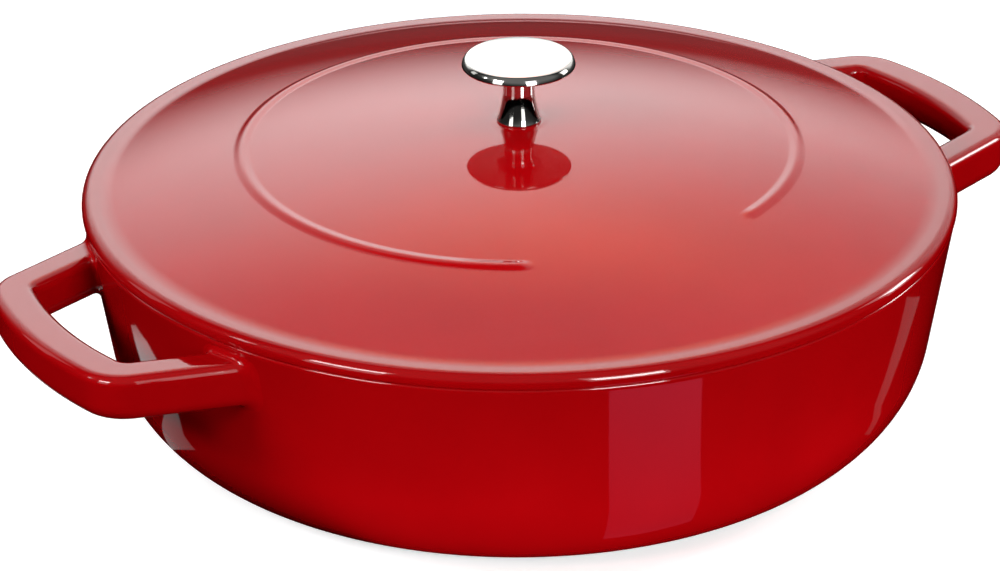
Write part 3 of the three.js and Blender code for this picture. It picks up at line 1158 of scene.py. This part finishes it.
# Studio: a pale floor, soft lamps and cards that only reflections see
studio = {
    "ambient": 0.08,
    "floorColour": (0.86, 0.86, 0.86, 1),
    "floorBounce": (0.06, 0.06, 0.06, 1),
    "floorLift": 0.55,
    "floorSize": 9.0,
    "tableRadius": 2.5,
    "tableHeight": 0.0003,
    "tableSteps": 96,
    "cardHeight": 0.0008,
    "glowReach": 3.0,
    "lampAim": 0.07,
    "tentRadius": 2.3,
    "tentSteps": (64, 32),
    "tentLevel": 0.02,
    "windowLow": (-1.0, 19.0),
    "windowHigh": (60.0, 78.0),
    "windowSide": (45.0, 70.0),
    "windowRoll": 4.0,
    "windowFoot": (0.0, 0.12),
    "frontRise": (2.0, 26.0),
    "frontSide": (80.0, 110.0),
    "frontLevel": 0.15,
    "tableRise": (0.35, 0.8),
    "tableLevel": 0.06,
    "backLevel": 0.03,
}
# Soft bright patches on the far wall, seen in the lid and on top of the knob
glows = {
    "farGlow": {
        "aside": -6.0,
        "height": 1.30,
        "distance": 2.6,
        "width": 1.0,
        "tall": 0.76,
        "lean": -45.0,
        "strength": 1.75,
        "colour": (1.0, 1.0, 1.0, 1),
    },
    "warmGlow": {
        "aside": 3.0,
        "height": 2.85,
        "distance": 2.7,
        "width": 0.70,
        "tall": 0.60,
        "lean": 0.0,
        "strength": 2.0,
        "colour": (1.0, 0.20, 0.05, 1),
    },
}
# Lamps: degrees to the right of the camera, distance, height, width, tall, radiance
lamps = {
    "cornerLamp": (-72.0, 1.0, 0.55, 0.10, 0.18, 6.0),
    "leftLamp": (-42.0, 1.0, 0.55, 0.34, 0.18, 16.0),
    "rightLamp": (25.0, 1.0, 0.38, 0.30, 0.28, 20.0),
    "rimLamp": (106.0, 1.0, 0.40, 0.20, 0.22, 16.0),
}
# Soft light that the gloss doesn't show
fillLamps = {
    "cornerFill": (-72.0, 1.0, 0.65, 0.40, 0.40, 13.5),
    "rightFill": (25.0, 1.0, 0.38, 0.36, 0.42, 4.6),
    "rimFill": (106.0, 1.0, 0.40, 0.30, 0.50, 10.0),
    "backLeftFill": (-140.0, 1.4, 0.35, 0.60, 0.60, 2.2),
    "backRightFill": (160.0, 1.4, 0.35, 0.60, 0.60, 2.2),
}
# Dim tall boxes behind the lamps, which only the gloss shows
lampBoxes = {
    "sideBox": (-104.0, 1.0, 0.45, 0.20, 0.40, 0.9),
    "leftBox": (-42.0, 1.15, 0.47, 0.41, 0.63, 2.0),
    "rightBox": (25.0, 1.15, 0.43, 0.41, 0.73, 2.0),
    "rimBox": (106.0, 1.15, 0.45, 0.34, 0.58, 2.0),
}
overhead = {"place": (0.2, 0.1, 2.2), "size": 1.8, "radiance": 1.3}
floorLamp = {"turn": 20.0, "distance": 0.20, "height": 0.004, "size": 0.24, "radiance": 0.78}
# Cards on the table, in mm: rows of two ends, each right of and away from the camera, and a level
cards = {
    "frontCard": [(28, -128, 60, -120, 0.3), (62, -216, 120, -181, 1.1)],
    "rightCard": [
        (134, -60, 131, -55, 0.08),
        (155, -50, 153, -44, 0.14),
        (171, -34, 168, -24, 0.16),
        (190, -15, 184, 1, 0.16),
        (207, -1, 197, 22, 0.16),
    ],
    "leftCard": [
        (-117, -44, -129, -73, 0.25),
        (-151, -48, -153, -61, 0.45),
        (-174, -16, -181, -36, 1.15),
        (-182, -6, -188, -23, 1.0),
        (-190, 2, -193, -5, 0.5),
    ],
}
cardColours = {
    "frontCard": (1.0, 0.21, 0.40, 1),
    "rightCard": (1.0, 1.0, 1.0, 1),
    "leftCard": (1.0, 1.0, 1.0, 1),
}
side = around(shot["azimuth"] + 90)
away = -around(shot["azimuth"])


def onlyReflected(piece):
    piece.visible_camera = False
    piece.visible_diffuse = False
    piece.visible_shadow = False
    piece.visible_transmission = False
    piece.visible_volume_scatter = False


def stageMesh(name, places, faces, material):
    mesh = bpy.data.meshes.new(name)
    mesh.from_pydata([tuple(p) for p in places], [], faces)
    mesh.materials.append(material)
    piece = bpy.data.objects.new(name, mesh)
    scene.collection.objects.link(piece)
    return piece


def seenShare(tree):
    path = addNode(tree, "ShaderNodeLightPath")
    seen = mathNode(tree, "MAXIMUM", path.outputs["Is Camera Ray"], path.outputs["Is Glossy Ray"])
    return mathNode(tree, "MAXIMUM", seen, path.outputs["Is Transmission Ray"])


def paleFloor():
    material, tree, output = newMaterial("paleFloor")
    path = addNode(tree, "ShaderNodeLightPath")
    tone = addNode(
        tree,
        "ShaderNodeMix",
        {
            "Factor": path.outputs["Is Diffuse Ray"],
            "A": studio["floorColour"],
            "B": studio["floorBounce"],
        },
        data_type="RGBA",
    )
    mat = addNode(tree, "ShaderNodeBsdfDiffuse", {"Color": tone.outputs["Result"]})
    lift = addNode(
        tree,
        "ShaderNodeEmission",
        {"Strength": mathNode(tree, "MULTIPLY", seenShare(tree), studio["floorLift"])},
    )
    both = addNode(tree, "ShaderNodeAddShader", {0: mat.outputs[0], 1: lift.outputs[0]})
    tree.links.new(both.outputs[0], output.inputs["Surface"])
    half = studio["floorSize"] / 2
    corners = [(-half, -half, 0), (half, -half, 0), (half, half, 0), (-half, half, 0)]
    stageMesh("paleFloor", corners, [(0, 1, 2, 3)], material)


def whiteRoom():
    world = bpy.data.worlds.new("whiteRoom")
    scene.world = world
    world.use_nodes = True
    tree = world.node_tree
    tree.nodes.clear()
    output = tree.nodes.new("ShaderNodeOutputWorld")
    level = addNode(
        tree,
        "ShaderNodeMapRange",
        {"Value": seenShare(tree), "To Min": studio["ambient"], "To Max": 1.0},
    )
    light = addNode(
        tree,
        "ShaderNodeBackground",
        {"Color": (1, 1, 1, 1), "Strength": level.outputs["Result"]},
    )
    tree.links.new(light.outputs[0], output.inputs["Surface"])


def fade(tree, value, ends):
    node = addNode(
        tree,
        "ShaderNodeMapRange",
        {"Value": value, "From Min": ends[0], "From Max": ends[1]},
        interpolation_type="SMOOTHSTEP",
    )
    return node.outputs["Result"]


# A dark table that only reflections see, greyer behind the pan
def darkTable():
    material, tree, output = newMaterial("darkTable")
    place = addNode(tree, "ShaderNodeTexCoord").outputs["Object"]
    behind = addNode(
        tree, "ShaderNodeVectorMath", {0: place, 1: tuple(away)}, operation="DOT_PRODUCT"
    )
    level = fade(tree, behind.outputs["Value"], studio["tableRise"])
    level = mathNode(tree, "MULTIPLY", level, studio["tableLevel"])
    grey = addNode(tree, "ShaderNodeEmission", {"Strength": level})
    tree.links.new(grey.outputs[0], output.inputs["Surface"])
    steps = studio["tableSteps"]
    ring = [around(360 * i / steps) * studio["tableRadius"] for i in range(steps)]
    places = [(p.x, p.y, studio["tableHeight"]) for p in ring]
    onlyReflected(stageMesh("darkTable", places, [tuple(range(steps))], material))


# A dark tent over the set with one wide soft window behind the pan
def darkTent():
    faced = Matrix.Rotation(math.radians(shot["azimuth"]), 4, "Z")
    rolled = Matrix.Rotation(math.radians(studio["windowRoll"]), 4, away)
    hung = (rolled @ faced).to_quaternion()
    plumb = hung.inverted() @ Vector((0, 0, 1))
    material, tree, output = newMaterial("darkTent")
    place = addNode(tree, "ShaderNodeTexCoord").outputs["Object"]
    split = addNode(tree, "ShaderNodeSeparateXYZ", {0: place})
    flat = addNode(tree, "ShaderNodeCombineXYZ", {0: split.outputs[0], 1: split.outputs[1]})
    reach = addNode(tree, "ShaderNodeVectorMath", {0: flat.outputs[0]}, operation="LENGTH")
    rise = mathNode(tree, "ARCTAN2", split.outputs[2], reach.outputs["Value"])
    rise = mathNode(tree, "MULTIPLY", rise, 180 / math.pi)
    turn = mathNode(tree, "ARCTAN2", split.outputs[0], split.outputs[1])
    turn = mathNode(tree, "MULTIPLY", mathNode(tree, "ABSOLUTE", turn), 180 / math.pi)
    low = fade(tree, rise, studio["windowLow"])
    high = mathNode(tree, "SUBTRACT", 1.0, fade(tree, rise, studio["windowHigh"]))
    across = mathNode(tree, "SUBTRACT", 1.0, fade(tree, turn, studio["windowSide"]))
    clear = mathNode(tree, "MULTIPLY", mathNode(tree, "MULTIPLY", low, high), across)
    upright = addNode(
        tree, "ShaderNodeVectorMath", {0: place, 1: tuple(plumb)}, operation="DOT_PRODUCT"
    )
    foot = fade(tree, upright.outputs["Value"], studio["windowFoot"])
    clear = mathNode(tree, "MULTIPLY", clear, foot)
    front = mathNode(tree, "MULTIPLY", fade(tree, rise, studio["frontRise"]), studio["frontLevel"])
    front = mathNode(tree, "MULTIPLY", front, fade(tree, turn, studio["frontSide"]))
    back = mathNode(tree, "MULTIPLY", across, studio["backLevel"])
    level = mathNode(tree, "ADD", mathNode(tree, "ADD", front, back), studio["tentLevel"])
    black = addNode(tree, "ShaderNodeEmission", {"Strength": level})
    window = addNode(tree, "ShaderNodeBsdfTransparent")
    mix = addNode(
        tree, "ShaderNodeMixShader", {0: clear, 1: black.outputs[0], 2: window.outputs[0]}
    )
    tree.links.new(mix.outputs[0], output.inputs["Surface"])
    mesh = bpy.data.meshes.new("darkTent")
    work = bmesh.new()
    stepsRound, stepsUp = studio["tentSteps"]
    bmesh.ops.create_uvsphere(
        work, u_segments=stepsRound, v_segments=stepsUp, radius=studio["tentRadius"]
    )
    work.to_mesh(mesh)
    work.free()
    mesh.materials.append(material)
    tent = bpy.data.objects.new("darkTent", mesh)
    scene.collection.objects.link(tent)
    tent.location = (0, 0, shot["aimHeight"])
    tent.rotation_mode = "QUATERNION"
    tent.rotation_quaternion = hung
    onlyReflected(tent)


def softGlow(name, look):
    material, tree, output = newMaterial(name)
    place = addNode(tree, "ShaderNodeTexCoord").outputs["Object"]
    scaled = addNode(
        tree,
        "ShaderNodeVectorMath",
        {0: place, 1: (1 / look["width"], 1 / look["tall"], 0)},
        operation="MULTIPLY",
    )
    square = addNode(
        tree,
        "ShaderNodeVectorMath",
        {0: scaled.outputs[0], 1: scaled.outputs[0]},
        operation="DOT_PRODUCT",
    )
    fall = mathNode(tree, "MULTIPLY", square.outputs["Value"], -0.5)
    fall = mathNode(tree, "POWER", math.e, fall)
    light = addNode(
        tree,
        "ShaderNodeEmission",
        {"Color": look["colour"], "Strength": mathNode(tree, "MULTIPLY", fall, look["strength"])},
    )
    clear = addNode(tree, "ShaderNodeBsdfTransparent")
    both = addNode(tree, "ShaderNodeAddShader", {0: light.outputs[0], 1: clear.outputs[0]})
    tree.links.new(both.outputs[0], output.inputs["Surface"])
    half = studio["glowReach"]
    corners = [(-half, -half, 0), (half, -half, 0), (half, half, 0), (-half, half, 0)]
    card = stageMesh(name, corners, [(0, 1, 2, 3)], material)
    onlyReflected(card)
    towards = around(shot["azimuth"] + 180 - look["aside"])
    leaned = Matrix.Rotation(math.radians(look["lean"]), 4, "Z").to_quaternion()
    card.location = towards * look["distance"] + Vector((0, 0, look["height"]))
    card.rotation_mode = "QUATERNION"
    card.rotation_quaternion = (-towards).to_track_quat("Z", "Y") @ leaned


def tableCard(name, rows):
    material, tree, output = newMaterial(name)
    level = addNode(tree, "ShaderNodeAttribute", attribute_name="level").outputs["Fac"]
    light = addNode(tree, "ShaderNodeEmission", {"Color": cardColours[name], "Strength": level})
    tree.links.new(light.outputs[0], output.inputs["Surface"])
    ends = [end for xa, ya, xb, yb, _ in rows for end in ((xa, ya), (xb, yb))]
    lift = Vector((0, 0, studio["cardHeight"]))
    places = [side * (x * mm) + away * (y * mm) + lift for x, y in ends]
    faces = [(2 * i, 2 * i + 1, 2 * i + 3, 2 * i + 2) for i in range(len(rows) - 1)]
    card = stageMesh(name, places, faces, material)
    layer = card.data.attributes.new("level", "FLOAT", "POINT")
    layer.data.foreach_set("value", [row[4] for row in rows for _ in range(2)])
    onlyReflected(card)


def softLamp(name, place, target, width, tall, radiance):
    data = bpy.data.lights.new(name, "AREA")
    data.shape = "RECTANGLE"
    data.size = width
    data.size_y = tall
    data.energy = radiance * math.pi * width * tall
    lamp = bpy.data.objects.new(name, data)
    scene.collection.objects.link(lamp)
    lamp.location = place
    lamp.rotation_mode = "QUATERNION"
    lamp.rotation_quaternion = (target - place).to_track_quat("-Z", "Y")
    lamp.visible_camera = False
    return lamp


paleFloor()
whiteRoom()
darkTable()
darkTent()
for name, look in glows.items():
    softGlow(name, look)
for name, rows in cards.items():
    tableCard(name, rows)
middle = Vector((0, 0, studio["lampAim"]))
for group in (lamps, fillLamps, lampBoxes):
    for name, (turn, distance, height, width, tall, radiance) in group.items():
        place = around(shot["azimuth"] + turn) * distance + Vector((0, 0, height))
        lamp = softLamp(name, place, middle, width, tall, radiance)
        lamp.visible_glossy = group is not fillLamps
        lamp.visible_diffuse = group is not lampBoxes
onFloor = around(shot["azimuth"] + floorLamp["turn"]) * floorLamp["distance"]
onFloor.z = floorLamp["height"]
above = Vector(overhead["place"])
for name, look, place, target in (
    ("overheadLamp", overhead, above, middle),
    ("floorLamp", floorLamp, onFloor, onFloor + Vector((0, 0, 1))),
):
    lamp = softLamp(name, place, target, look["size"], look["size"], look["radiance"])
    lamp.visible_glossy = False
print("studio lit")
